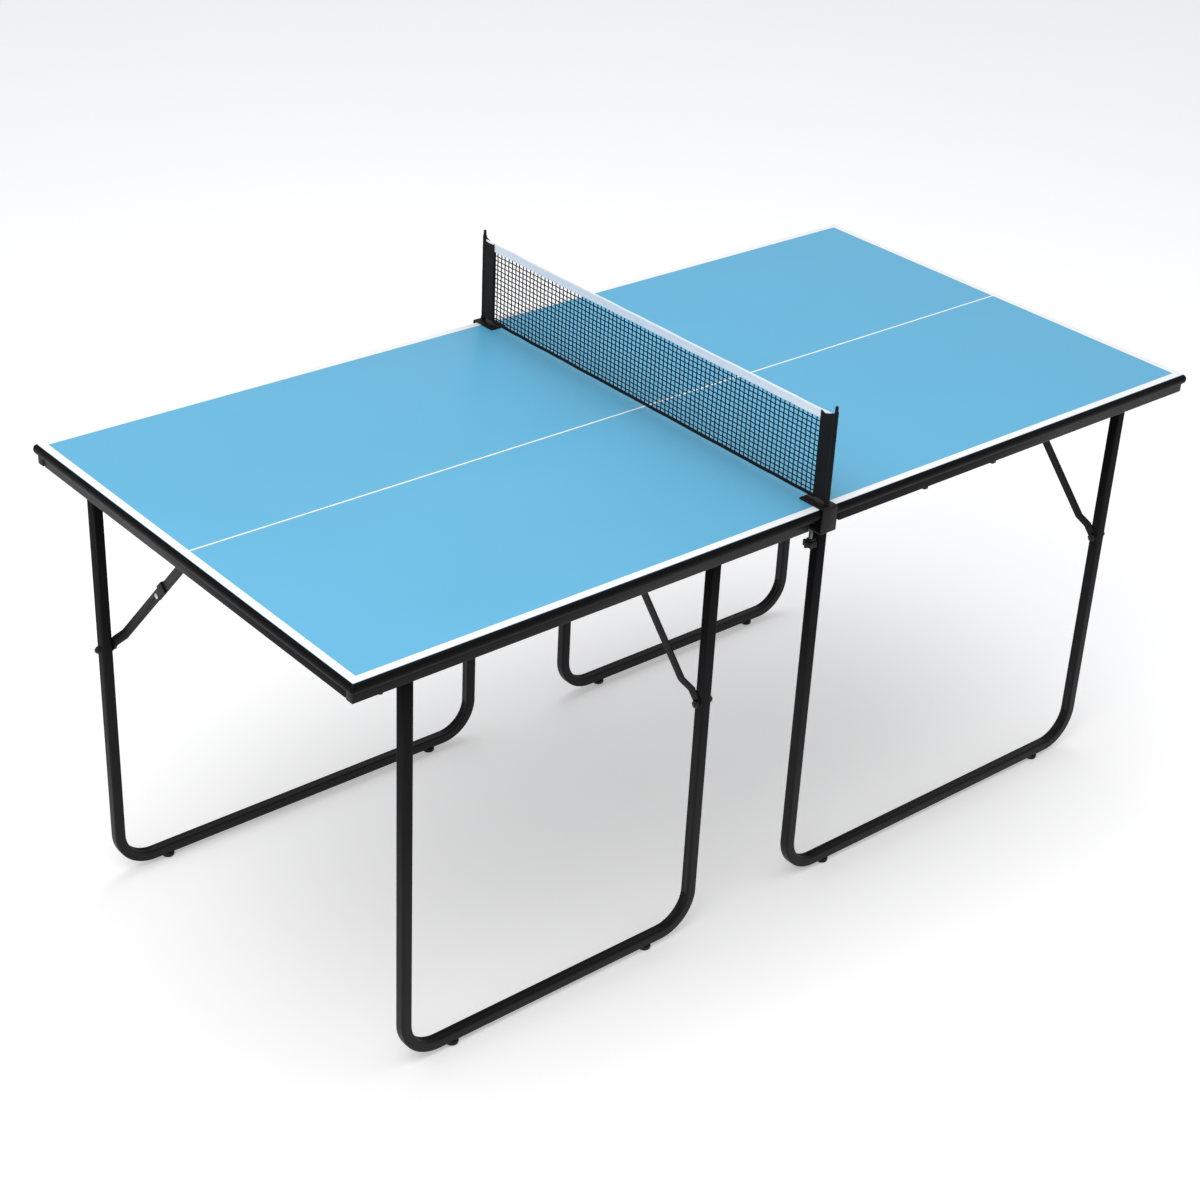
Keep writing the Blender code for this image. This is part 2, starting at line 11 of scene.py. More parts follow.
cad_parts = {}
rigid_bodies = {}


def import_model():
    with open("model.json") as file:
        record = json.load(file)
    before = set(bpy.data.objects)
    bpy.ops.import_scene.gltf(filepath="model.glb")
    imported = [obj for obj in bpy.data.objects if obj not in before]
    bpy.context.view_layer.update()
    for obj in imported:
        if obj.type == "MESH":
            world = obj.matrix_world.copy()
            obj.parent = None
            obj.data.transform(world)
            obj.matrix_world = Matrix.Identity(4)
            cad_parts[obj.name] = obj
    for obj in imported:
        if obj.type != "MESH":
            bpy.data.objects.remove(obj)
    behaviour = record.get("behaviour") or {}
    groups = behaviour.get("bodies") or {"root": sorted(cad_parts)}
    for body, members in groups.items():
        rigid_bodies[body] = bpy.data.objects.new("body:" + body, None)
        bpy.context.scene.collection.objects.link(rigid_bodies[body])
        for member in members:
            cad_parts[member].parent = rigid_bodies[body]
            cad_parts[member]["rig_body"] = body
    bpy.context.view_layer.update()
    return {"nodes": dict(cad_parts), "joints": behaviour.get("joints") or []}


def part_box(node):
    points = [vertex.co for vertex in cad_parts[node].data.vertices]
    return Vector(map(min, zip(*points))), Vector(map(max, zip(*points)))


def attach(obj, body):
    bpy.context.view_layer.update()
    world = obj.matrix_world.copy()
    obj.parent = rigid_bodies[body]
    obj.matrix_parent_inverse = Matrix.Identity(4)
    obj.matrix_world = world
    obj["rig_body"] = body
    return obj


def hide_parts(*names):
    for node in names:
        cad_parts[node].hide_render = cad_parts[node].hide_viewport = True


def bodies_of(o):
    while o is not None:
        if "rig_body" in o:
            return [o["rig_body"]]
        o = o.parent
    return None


bl_info = {
    "name": "Folding ping pong table",
    "version": (1, 0, 0),
    "blender": (4, 5, 0),
    "location": "3D View > Sidebar > Table",
    "description": "Makes the table's boards, frame, legs, braces, net set and studio",
    "category": "Add Mesh",
}

for startup_object in list(bpy.data.objects):
    bpy.data.objects.remove(startup_object, do_unlink=True)

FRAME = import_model()
NODES = FRAME["nodes"]
HINGES = {j["name"]: Vector(j["pos_m"]) for j in FRAME["joints"] if "pos_m" in j}

HALVES = (("left", 0.0), ("right", math.pi))
ENDS = (("near", 0.0), ("far", math.pi))
KINDS = ("wide", "narrow")
WHERES = ("outer", "seam")
WIDE_RAIL_BOLTS_X = (-0.376, -0.222)
RIGHT_ANGLE = math.pi / 2
FULL_TURN = 2 * math.pi
UP = Vector((0, 0, 1))
WELD = 0.000002
GAP = 0.0003
SHEET = 0.002
RIVET_SHANK = 0.0026
CLOTH_SEED = 1
LEVEL_TO_UPRIGHT = Matrix(((1, 0, 0, 0), (0, 0, 1, 0), (0, 1, 0, 0), (0, 0, 0, 1)))
LEVEL_TO_END_ON = Matrix(((0, 0, 1, 0), (1, 0, 0, 0), (0, 1, 0, 0), (0, 0, 0, 1)))


def linear(code):
    """An sRGB hex colour as linear light."""
    parts = [int(code[i : i + 2], 16) / 255 for i in (1, 3, 5)]
    return tuple(p / 12.92 if p <= 0.04045 else ((p + 0.055) / 1.055) ** 2.4 for p in parts)


def length(name, description, millimetres):
    """A size that a user may change, given in millimetres and kept in metres."""
    return FloatProperty(
        name=name,
        description=description,
        default=millimetres / 1000,
        min=0.0,
        subtype="DISTANCE",
        unit="LENGTH",
        precision=5,
    )


def colour(name, description, code):
    """A colour that a user may change."""
    return FloatVectorProperty(
        name=name, description=description, default=linear(code), min=0.0, max=1.0, subtype="COLOR"
    )


class TableSizes(bpy.types.PropertyGroup):
    """Sizes of the detail that the frame leaves out."""

    border: length("Border line", "Width of the white line along the outer edges", 12.5)
    centre_line: length("Centre line", "Width of the line down the middle", 3)
    board_ease: length("Board ease", "Rounding of the boards' edges", 0.6)
    moulding_round: length("Moulding round", "Radius of the edge moulding's section", 8.2)
    rail_round: length("Rail round", "Corner radius of the rails' tube", 1.9)
    rail_wall: length("Tube wall", "Wall of the rails and legs", 1.2)
    tube_round: length("Leg round", "Corner radius of the legs' square tube", 3.2)
    bend_radius: length("Bend radius", "Radius of a leg's bends, on the tube's centre line", 60)
    bend_dent: length("Bend dent", "How far the bender presses in the inside of a bend", 2.4)
    pressed_edge: length("Pressed edge", "Rounding of the sheet steel's edges", 0.35)
    thread: length("Net thread", "Thickness of the net's thread", 1.9)
    pitch: length("Net pitch, up", "From one level thread of the net to the next", 7.8)
    pitch_along: length("Net pitch, along", "From one upright thread to the next", 9.5)
    top_tape: length("Top tape", "Height of the white tape", 15)
    foot_tape: length("Bottom tape", "Height of the black tape under the net", 5.5)
    sleeve_from: length("Sleeve start", "From the table's middle to where a sleeve starts", 385)
    sleeve_round: length("Sleeve round", "Radius of a sleeve round its post", 3.5)
    knob_lobes: IntProperty(
        name="Knob lobes", description="Lobes on each clamp knob", default=6, min=3, max=12
    )


class TableColours(bpy.types.PropertyGroup):
    """Colours of the table's finishes and of the studio."""

    top: colour("Playing surface", "Blue paint of the boards", "#5CB1D8")
    lines: colour("Lines", "White paint of the lines", "#F6F7F8")
    raw_board: colour("Underside", "Dark primer on the boards' undersides", "#2B2A2A")
    steel: colour("Frame", "Powder coat of the steel", "#131214")
    moulding: colour("Edge moulding", "Plastic round the boards", "#0A0A0B")
    plastic: colour("Plastic", "Feet, plugs and knobs", "#0E0E0F")
    rubber: colour("Rubber", "Clamp pads and bumpers", "#111112")
    zinc: colour("Zinc", "Plated rivets and pins", "#C9CBCC")
    bolts: colour("Bolts", "Blackened bolts and nuts", "#171617")
    netting: colour("Netting", "Thread of the net", "#0C0D10")
    white_tape: colour("White tape", "Tape along the net's top", "#E9ECF3")
    webbing: colour("Webbing", "Sleeves and bottom tape", "#0B0B0D")
    floor: colour("Floor", "The studio's paper", "#F7F7F7")


# Finishes -------------------------------------


def add_node(tree, kind, settings=None, inputs=None):
    """Adds a node with its settings, and gives each input a value or a link."""
    made = tree.nodes.new(kind)
    for key, value in (settings or {}).items():
        setattr(made, key, value)
    for key, value in (inputs or {}).items():
        if isinstance(value, bpy.types.NodeSocket):
            tree.links.new(value, made.inputs[key])
        else:
            made.inputs[key].default_value = value
    return made


def shade(tint, factor):
    return (*(min(1.0, part * factor) for part in tint), 1.0)


def finish(name, tint, patch, grain, depth, rough, spread=0.12, height=None, **sockets):
    """A finish with broad patches of tone and gloss, and a fine relief.

    patch and grain are the sizes of the patches and of the relief, and depth is the relief's, in
    millimetres. rough is the least and most roughness, and height gives a relief of its own.
    """
    made = bpy.data.materials.get(name)
    if made:
        return made
    made = bpy.data.materials.new(name)
    made.use_nodes = True
    tree = made.node_tree
    shader = tree.nodes["Principled BSDF"]
    place = add_node(tree, "ShaderNodeTexCoord").outputs["Object"]
    patches, fine = (
        add_node(
            tree,
            "ShaderNodeTexNoise",
            inputs={"Vector": place, "Scale": 1000 / size, "Detail": detail},
        ).outputs["Fac"]
        for size, detail in ((patch, 4.0), (grain, 2.0))
    )
    both = add_node(
        tree,
        "ShaderNodeMix",
        {"data_type": "FLOAT"},
        {"Factor": 0.35, 2: patches, 3: fine},
    ).outputs[0]
    ramp = add_node(tree, "ShaderNodeValToRGB", inputs={"Fac": both})
    ramp.color_ramp.elements[0].position = 0.3
    ramp.color_ramp.elements[1].position = 0.7
    ramp.color_ramp.elements[0].color = shade(tint, 1 - spread)
    ramp.color_ramp.elements[1].color = shade(tint, 1 + spread)
    gloss = add_node(
        tree,
        "ShaderNodeMapRange",
        inputs={"Value": both, 1: 0.3, 2: 0.7, 3: rough[0], 4: rough[1]},
    ).outputs["Result"]
    relief = height(tree, place) if height else fine
    bump = add_node(
        tree,
        "ShaderNodeBump",
        inputs={"Strength": 1.0, "Distance": depth / 1000, "Height": relief},
    ).outputs["Normal"]
    tree.links.new(ramp.outputs["Color"], shader.inputs["Base Color"])
    tree.links.new(gloss, shader.inputs["Roughness"])
    tree.links.new(bump, shader.inputs["Normal"])
    for socket, value in sockets.items():
        shader.inputs[socket.replace("_", " ")].default_value = value
    return made


def weave(thread, slant=0.0):
    """The relief of two sets of crossing threads, in the net's plane. thread is in millimetres."""

    def height(tree, place):
        turned = add_node(
            tree, "ShaderNodeMapping", inputs={"Vector": place, "Rotation": (slant, 0, 0)}
        ).outputs["Vector"]
        waves = [
            add_node(
                tree,
                "ShaderNodeTexWave",
                {"wave_type": "BANDS", "bands_direction": axis, "wave_profile": "SIN"},
                {"Vector": turned, "Scale": 1000 / thread / FULL_TURN, "Distortion": 0.3},
            ).outputs["Fac"]
            for axis in ("Y", "Z")
        ]
        return add_node(
            tree, "ShaderNodeMath", {"operation": "MULTIPLY"}, {0: waves[0], 1: waves[1]}
        ).outputs["Value"]

    return height


def make_finishes(tints):
    """Every finish of the table, by its short name."""
    return {
        # Fibreboard, primed and rolled with a satin acrylic: an even blue, a soft sheen, and the
        # roller's faint orange peel, about 2 mm across.
        "top": finish(
            "Rolled_satin_acrylic_blue", tints.top, 240, 2.0, 0.012, (0.4, 0.48), 0.025,
            Coat_Weight=0.12, Coat_Roughness=0.3,
        ),
        # The lines are screen printed over the blue: a denser white with the same sheen.
        "lines": finish(
            "Screen_printed_white_line", tints.lines, 60, 1.5, 0.01, (0.42, 0.5), 0.02
        ),
        # Fibreboard sealed with a dark primer: dull, with pressed fibres about 1.5 mm long.
        "raw": finish(
            "Primed_fibreboard", tints.raw_board, 90, 1.5, 0.06, (0.65, 0.8), 0.16,
            Specular_IOR_Level=0.3,
        ),
        # Polyester powder coat on steel tube: satin black with a flow-out texture of about 0.9 mm.
        "steel": finish(
            "Satin_black_powder_coat", tints.steel, 45, 0.9, 0.03, (0.4, 0.5), 0.2,
            Specular_IOR_Level=0.18,
        ),
        # Extruded PVC: smooth along its length, a little waxy, drawn with 3 mm waves.
        "moulding": finish(
            "Extruded_black_PVC", tints.moulding, 70, 3.0, 0.03, (0.4, 0.5), 0.15,
            Specular_IOR_Level=0.08,
        ),
        # Injection-moulded polypropylene with a spark-eroded texture of about 0.5 mm.
        "plastic": finish(
            "Moulded_black_polypropylene", tints.plastic, 12, 0.5, 0.03, (0.42, 0.55), 0.15,
            Specular_IOR_Level=0.25,
        ),
        # Moulded rubber: dull, slightly bloomed, with a 0.8 mm grain.
        "rubber": finish(
            "Moulded_black_rubber", tints.rubber, 8, 0.8, 0.06, (0.7, 0.85), 0.2,
            Specular_IOR_Level=0.3,
        ),
        # Bright zinc plate over turned steel: silvery, with patches of cloudier plate.
        "zinc": finish(
            "Bright_zinc_plate", tints.zinc, 5, 0.4, 0.008, (0.22, 0.36), 0.1, Metallic=1.0
        ),
        # Black oxide on forged bolts: dark, oily, with worn lighter patches a few millimetres wide.
        "bolts": finish(
            "Black_oxide_steel", tints.bolts, 4, 0.4, 0.02, (0.34, 0.5), 0.35,
            Specular_IOR_Level=0.35,
        ),
        # Braided polyester cord with strands about 0.7 mm apart: matt black with fuzz at the edges.
        "netting": finish(
            "Braided_black_polyester_cord", tints.netting, 20, 0.7, 0.12, (0.75, 0.9), 0.25,
            Specular_IOR_Level=0.2, Sheen_Weight=0.03,
        ),
        # Woven cotton twill tape, threads drawn 1 mm apart so that they show, twice the real ones.
        "white_tape": finish(
            "White_cotton_twill_tape", tints.white_tape, 18, 0.8, 0.25, (0.78, 0.92), 0.05,
            weave(1.0, math.radians(32)), Sheen_Weight=0.2,
        ),
        # Woven polypropylene webbing, picks about 1.2 mm apart: matt black with a faint shine.
        "webbing": finish(
            "Black_woven_webbing", tints.webbing, 16, 1.0, 0.22, (0.7, 0.85), 0.2,
            weave(1.2), Specular_IOR_Level=0.2, Sheen_Weight=0.03,
        ),
        # Seamless background paper that glows a little, with a grain too fine to see.
        "floor": finish(
            "Background_paper", tints.floor, 900, 4.0, 0.02, (0.85, 0.95), 0.01,
            Emission_Strength=0.3,
        ),
    }


# Shaping --------------------------------------


def body_of(node):
    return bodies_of(NODES[node])[0]


def leave(name, work, finishes, body, replaced=(), sharp=32, wall=None):
    """Welds a finished mesh, gives it its finishes and hangs it on its body."""
    bmesh.ops.remove_doubles(work, verts=work.verts, dist=WELD)
    bmesh.ops.recalc_face_normals(work, faces=work.faces)
    mesh = bpy.data.meshes.new(name)
    work.to_mesh(mesh)
    work.free()
    mesh.shade_smooth()
    mesh.set_sharp_from_angle(angle=math.radians(sharp))
    for made in finishes:
        mesh.materials.append(made)
    piece = bpy.data.objects.new(name, mesh)
    bpy.context.scene.collection.objects.link(piece)
    if wall:
        solid = piece.modifiers.new("wall", "SOLIDIFY")
        solid.thickness = wall
        solid.offset = -1.0
        solid.use_even_offset = True
    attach(piece, body)
    if replaced:
        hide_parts(*replaced)
    return piece


def moved(work, matrix):
    bmesh.ops.transform(work, matrix=matrix, verts=work.verts)
    return work


def turned_about_z(work, turn):
    return moved(work, Matrix.Rotation(turn, 4, "Z"))


def joined(parts):
    """Several meshes as one."""
    whole = bmesh.new()
    carrier = bpy.data.meshes.new("carrier")
    for part in parts:
        part.to_mesh(carrier)
        part.free()
        whole.from_mesh(carrier)
    bpy.data.meshes.remove(carrier)
    return whole


def block(low, high):
    """A box between two corners."""
    work = bmesh.new()
    bmesh.ops.create_cube(work, size=1.0)
    size, middle = Vector(high) - Vector(low), (Vector(high) + Vector(low)) / 2
    return moved(work, Matrix.Translation(middle) @ Matrix.Diagonal((*size, 1)))


def soften(work, edges, radius, segments=2):
    bmesh.ops.bevel(
        work,
        geom=edges,
        offset=radius,
        offset_type="OFFSET",
        segments=segments,
        profile=0.5,
        affect="EDGES",
        material=-1,
        clamp_overlap=True,
    )


def loop(wide, deep, radius, segments, cuts=0):
    """A rectangle of edges with round corners, centred in XY, with its long runs cut."""
    work = bmesh.new()
    bmesh.ops.create_circle(work, cap_ends=False, radius=math.sqrt(0.5), segments=4)
    square = Matrix.Rotation(RIGHT_ANGLE / 2, 4, "Z")
    moved(work, Matrix.Diagonal((wide, deep, 1, 1)) @ square)
    bmesh.ops.bevel(
        work,
        geom=work.verts[:],
        offset=radius,
        offset_type="OFFSET",
        segments=segments,
        profile=0.5,
        affect="VERTICES",
        material=-1,
    )
    if cuts:
        runs = [edge for edge in work.edges if edge.calc_length() > 2.5 * radius / segments]
        bmesh.ops.subdivide_edges(work, edges=runs, cuts=cuts)
    return work


def drawn(work, edges, step):
    """Draws a loop of edges along a step, and gives the new loop."""
    made = bmesh.ops.extrude_edge_only(work, edges=edges)["geom"]
    points = {part for part in made if isinstance(part, bmesh.types.BMVert)}
    bmesh.ops.translate(work, vec=step, verts=list(points))
    return [
        part
        for part in made
        if isinstance(part, bmesh.types.BMEdge) and points.issuperset(part.verts)
    ]


def swung(work, edges, centre, axis, angle, steps):
    """Swings a loop of edges round an axis, and gives the last loop."""
    made = bmesh.ops.spin(
        work, geom=edges, cent=centre, axis=axis, angle=angle, steps=steps, use_merge=False
    )
    return [part for part in made["geom_last"] if isinstance(part, bmesh.types.BMEdge)]


def capped(work, edges):
    bmesh.ops.edgeloop_fill(work, edges=edges)


def lathed(profile, steps=24):
    """A turned shape about Z, from (radius, height) points."""
    work = bmesh.new()
    points = [work.verts.new((radius, 0, z)) for radius, z in profile]
    edges = [work.edges.new(pair) for pair in zip(points, points[1:])]
    bmesh.ops.spin(
        work,
        geom=points + edges,
        cent=(0, 0, 0),
        axis=(0, 0, 1),
        angle=FULL_TURN,
        steps=steps,
        use_merge=True,
    )
    bmesh.ops.remove_doubles(work, verts=work.verts, dist=WELD)
    return work


def aimed(work, place, direction):
    """Stands a shape made along Z on a place, pointing in a direction."""
    turn = UP.rotation_difference(Vector(direction)).to_matrix().to_4x4()
    return moved(work, Matrix.Translation(place) @ turn)


def stood(work, node):
    """Stands a shape made about Z on the middle of a node's underside."""
    low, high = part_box(node)
    place = ((low.x + high.x) / 2, (low.y + high.y) / 2, low.z)
    return moved(work, Matrix.Translation(place))


def level_rims(work):
    """The edges that lie level."""
    return [edge for edge in work.edges if abs(edge.verts[0].co.z - edge.verts[1].co.z) < WELD]


def pressed(node, radius):
    """A copy of a frame piece as clean faces, with its corners softened as a press leaves them."""
    work = bmesh.new()
    work.from_mesh(NODES[node].data)
    bmesh.ops.remove_doubles(work, verts=work.verts, dist=0.00001)
    bmesh.ops.dissolve_limit(
        work, angle_limit=math.radians(1.5), verts=work.verts, edges=work.edges
    )
    corners = [e for e in work.edges if e.is_manifold and e.calc_face_angle() > math.radians(38)]
    soften(work, corners, radius)
    return work


# Boards, moulding and rails -------------------


def board(sizes):
    """The left board, cut along its lines, with each face's finish: blue, white or primed."""
    low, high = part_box("left_board")
    work = block(low, high)
    soften(work, work.edges[:], sizes.board_ease, 3)
    edge_y, line = high.y - sizes.border, sizes.centre_line / 2
    cuts = [((low.x + sizes.border, 0, 0), (1, 0, 0))]
    cuts += [((0, y, 0), (0, 1, 0)) for y in (-edge_y, -line, line, edge_y)]
    for place, normal in cuts:
        whole = work.verts[:] + work.edges[:] + work.faces[:]
        bmesh.ops.bisect_plane(work, geom=whole, plane_co=place, plane_no=normal)
    for face in work.faces:
        at = face.calc_center_median()
        on_top = face.normal.z > 0.02
        outside = at.x < low.x + sizes.border or abs(at.y) > edge_y
        if on_top and (outside or abs(at.y) < line):
            face.material_index = 1
        elif face.normal.z < -0.5:
            face.material_index = 2
    return work


def moulding(sizes):
    """The left half's half-round moulding, drawn along both sides and round both corners."""
    low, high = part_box("left_edge_moulding")
    board_low, board_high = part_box("left_board")
    inner_x, inner_y = board_low.x - GAP, board_high.y + GAP
    radius = sizes.moulding_round
    flat = (high.z - low.z) / 2 - radius
    middle = (high.z + low.z) / 2
    work = bmesh.new()
    bmesh.ops.create_circle(work, cap_ends=False, radius=radius, segments=40)
    for point in work.verts:
        point.co.y += math.copysign(flat, point.co.y)
    lift = Matrix.Translation((high.x, high.y - radius, middle))
    moved(work, lift @ LEVEL_TO_END_ON)
    bmesh.ops.bisect_plane(
        work,
        geom=work.verts[:] + work.edges[:],
        plane_co=(0, inner_y, 0),
        plane_no=(0, 1, 0),
        clear_inner=True,
    )
    tips = [point for point in work.verts if len(point.link_edges) == 1]
    work.edges.new(tips)
    section = work.edges[:]
    capped(work, section)
    run = drawn(work, section, (inner_x - high.x, 0, 0))
    run = swung(work, run, (inner_x, inner_y, middle), (0, 0, 1), RIGHT_ANGLE, 8)
    run = drawn(work, run, (0, -2 * inner_y, 0))
    run = swung(work, run, (inner_x, -inner_y, middle), (0, 0, 1), RIGHT_ANGLE, 8)
    run = drawn(work, run, (high.x - inner_x, 0, 0))
    capped(work, run)
    return work


def rail(node, along, sizes):
    """A rail's tube between its ends, along X or Y."""
    low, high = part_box(node)
    size, middle = high - low, (high + low) / 2
    wide = size.y if along == "X" else size.x
    work = loop(size.z, wide, sizes.rail_round, 3)
    stand = Matrix.Rotation(RIGHT_ANGLE, 4, "Y")
    start = Vector((low.x, middle.y, middle.z))
    step = (size.x, 0, 0)
    if along == "Y":
        stand = Matrix.Rotation(RIGHT_ANGLE, 4, "Z") @ stand
        start, step = Vector((middle.x, low.y, middle.z)), (0, size.y, 0)
    moved(work, Matrix.Translation(start) @ stand)
    drawn(work, work.edges[:], step)
    return work


def plug(place, direction, wide, deep, radius):
    """A tube's end plug: a low cushioned cap on a shank that goes into the tube."""
    cap, shank, wall = 0.0011, 0.009, 0.0014
    work = loop(wide - 0.0004, deep - 0.0004, radius, 3)
    rim = drawn(work, work.edges[:], (0, 0, cap * 0.6))
    grown = drawn(work, rim, (0, 0, cap * 0.4))
    points = {point for edge in grown for point in edge.verts}
    bmesh.ops.scale(work, vec=(0.88, 0.88, 1), verts=list(points))
    capped(work, grown)
    under = [edge for edge in work.edges if edge.is_boundary]
    capped(work, under)
    tongue = loop(wide - 2 * wall, deep - 2 * wall, radius * 0.6, 2)
    start = tongue.edges[:]
    capped(tongue, start)
    capped(tongue, drawn(tongue, start, (0, 0, -shank)))
    return aimed(joined([work, tongue]), place, direction)


def rail_plugs(sizes):
    """The plugs at the open ends of the left half's rails."""
    parts = []
    for side in ("wide", "narrow"):
        low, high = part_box(f"left_{side}_leg_side_rail")
        y, z = (low.y + high.y) / 2, (low.z + high.z) / 2
        for x, way in ((low.x, -1), (high.x, 1)):
            parts.append(
                plug((x, y, z), (way, 0, 0), high.z - low.z, high.y - low.y, sizes.rail_round)
            )
    low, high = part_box("left_end_rail")
    x, z = (low.x + high.x) / 2, (low.z + high.z) / 2
    for y, way in ((low.y, -1), (high.y, 1)):
        cap = plug((0, 0, 0), (0, 0, 1), high.x - low.x, high.z - low.z, sizes.rail_round)
        stand = Matrix.Rotation(-way * RIGHT_ANGLE, 4, "X")
        parts.append(moved(cap, Matrix.Translation((x, y, z)) @ stand))
    return joined(parts)


def screw(place, radius=0.0034):
    """A pan-head screw with a socket, seen from under the table."""
    tall, socket = radius * 0.6, radius * 0.32
    profile = [
        (0, tall * 0.45),
        (socket, tall * 0.45),
        (socket * 1.05, tall),
        (radius * 0.62, tall * 0.93),
        (radius * 0.9, tall * 0.62),
        (radius, tall * 0.25),
        (radius, 0),
        (radius * 0.4, 0),
        (radius * 0.4, -0.004),
        (0, -0.004),
    ]
    return aimed(lathed(profile, 16), place, -UP)


def under_screws():
    """The left half's screws: through the rails, the hinge brackets and the brace anchors."""
    parts, small, from_end = [], 0.003, 0.009
    low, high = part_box("left_narrow_leg_side_rail")
    count, start, margins = 4, 0.045, 0.085
    for i in range(count):
        x = low.x + start + (high.x - low.x - margins) * i / (count - 1)
        parts.append(screw((x, (low.y + high.y) / 2, low.z)))
    low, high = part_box("left_end_rail")
    for share in (0.12, 0.5, 0.88):
        parts.append(screw(((low.x + high.x) / 2, low.y + (high.y - low.y) * share, low.z)))
    for kind in KINDS:
        for where in WHERES:
            low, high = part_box(f"left_{kind}_{where}_bracket")
            for share in (0.26, 0.74):
                y = low.y + (high.y - low.y) * share
                parts.append(screw(((low.x + high.x) / 2, y, high.z - SHEET), small))
        low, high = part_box(f"left_{kind}_brace_anchor")
        pivot = HINGES[f"left_{kind}_upper_bar_turn"]
        high_is_far = abs(high.x - pivot.x) > abs(low.x - pivot.x)
        far = high.x - from_end if high_is_far else low.x + from_end
        for share in (0.27, 0.73):
            parts.append(screw((far, low.y + (high.y - low.y) * share, high.z - SHEET), small))
    return joined(parts)


def rail_bolts():
    """The hexagon heads of the two bolts up through the left half's wide-leg rail."""
    low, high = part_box("left_wide_leg_side_rail")
    y = (low.y + high.y) / 2
    heads = [aimed(nut(0.0105, 0.0048), (x, y, low.z), -UP) for x in WIDE_RAIL_BOLTS_X]
    return joined(heads)


def bumper():
    """The rubber stop under the left half's narrow-leg rail, near the table's end."""
    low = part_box("left_narrow_leg_side_rail")[0]
    radius, tall = 0.0045, 0.0035
    profile = [(0, tall), (radius * 0.6, tall), (radius * 0.9, tall * 0.8), (radius, 0), (0, 0)]
    from_end, from_side = 0.0455, 0.0065
    return aimed(lathed(profile, 20), (low.x + from_end, low.y + from_side, low.z), -UP)


# Legs and braces ------------------------------


def leg_tube(node, sizes):
    """A U of square tube in one piece: drawn down, bent, drawn along, bent and drawn up."""
    low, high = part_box(node)
    tube = high.y - low.y
    y, radius = (low.y + high.y) / 2, sizes.bend_radius
    left, right = low.x + tube / 2, high.x - tube / 2
    centre_z = low.z + tube / 2 + radius
    work = loop(tube, tube, sizes.tube_round, 4, cuts=3)
    moved(work, Matrix.Translation((left, y, high.z)))
    run = drawn(work, work.edges[:], (0, 0, centre_z - high.z))
    run = swung(work, run, (left + radius, y, centre_z), (0, 1, 0), -RIGHT_ANGLE, 14)
    run = drawn(work, run, (right - left - 2 * radius, 0, 0))
    run = swung(work, run, (right - radius, y, centre_z), (0, 1, 0), -RIGHT_ANGLE, 14)
    drawn(work, run, (0, 0, high.z - centre_z))
    bmesh.ops.remove_doubles(work, verts=work.verts, dist=WELD)
    inside = radius - tube / 2
    flat = tube / 2 - sizes.tube_round
    for centre_x, way in ((left + radius, -1), (right - radius, 1)):
        for point in work.verts:
            out = Vector((point.co.x - centre_x, 0, point.co.z - centre_z))
            along = math.atan2(-out.z, way * out.x) / RIGHT_ANGLE
            if abs(out.length - inside) < 0.0002 and 0 < along < 1:
                hollow = math.cos(RIGHT_ANGLE * min(1, abs(point.co.y - y) / flat))
                deep = sizes.bend_dent * min(1, 5 * math.sin(math.pi * along)) * hollow
                point.co += out.normalized() * deep
    return work


def tube_plugs(node, sizes):
    """The plugs in the two upper ends of a leg."""
    low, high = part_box(node)
    tube = high.y - low.y
    y = (low.y + high.y) / 2
    places = ((x, y, high.z) for x in (low.x + tube / 2, high.x - tube / 2))
    return joined([plug(at, (0, 0, 1), tube, tube, sizes.tube_round) for at in places])


def foot(node):
    """A moulded glide with a rounded shoulder and a worn flat face."""
    low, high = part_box(node)
    radius, tall = (high.x - low.x) / 2, high.z - low.z
    profile = [
        (0, tall),
        (radius * 0.86, tall),
        (radius * 0.97, tall * 0.9),
        (radius, tall * 0.72),
        (radius, tall * 0.4),
        (radius * 0.96, tall * 0.2),
        (radius * 0.86, tall * 0.06),
        (radius * 0.76, 0),
        (radius * 0.3, 0),
        (radius * 0.26, tall * 0.1),
        (0, tall * 0.1),
    ]
    return stood(lathed(profile, 28), node)


def dome(radius, tall, dimple=0.0):
    """A rivet or bolt head on Z = 0, with a dimple for a tubular rivet."""
    profile = [(0, tall - dimple)]
    if dimple:
        profile += [(radius * 0.26, tall - dimple), (radius * 0.36, tall * 0.97)]
    profile += [(radius * 0.6, tall * 0.9), (radius * 0.85, tall * 0.66), (radius, tall * 0.25)]
    return lathed([*profile, (radius, 0), (0, 0)], 24)


def nut(across, tall):
    """A hexagon nut with chamfered corners and a bolt's end in it."""
    work = bmesh.new()
    bmesh.ops.create_cone(
        work,
        cap_ends=True,
        segments=6,
        radius1=across / math.sqrt(3),
        radius2=across / math.sqrt(3),
        depth=tall,
        matrix=Matrix.Translation((0, 0, tall / 2)),
    )
    soften(work, level_rims(work), 0.0005)
    end = across * 0.3
    stud = lathed([(0, tall + 0.0016), (end * 0.8, tall + 0.0016), (end, tall + 0.001), (end, 0)])
    return joined([work, stud])


def brace_places(half, kind):
    """The brace's bolt, knee and anchor pin, and the way from its upright to its bars."""
    bolt = HINGES[f"{half}_{kind}_lower_bar_turn"]
    anchor = HINGES[f"{half}_{kind}_upper_bar_turn"]
    down, along = anchor.z - bolt.z, abs(anchor.y - bolt.y)
    span = math.hypot(down, along)
    knee = bolt.lerp(anchor, (span + down - along) / 2 / span)
    low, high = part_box(f"{half}_{kind}_brace_lower_bar")
    way = 1 if (low.x + high.x) / 2 > bolt.x else -1
    return bolt, knee, anchor, way


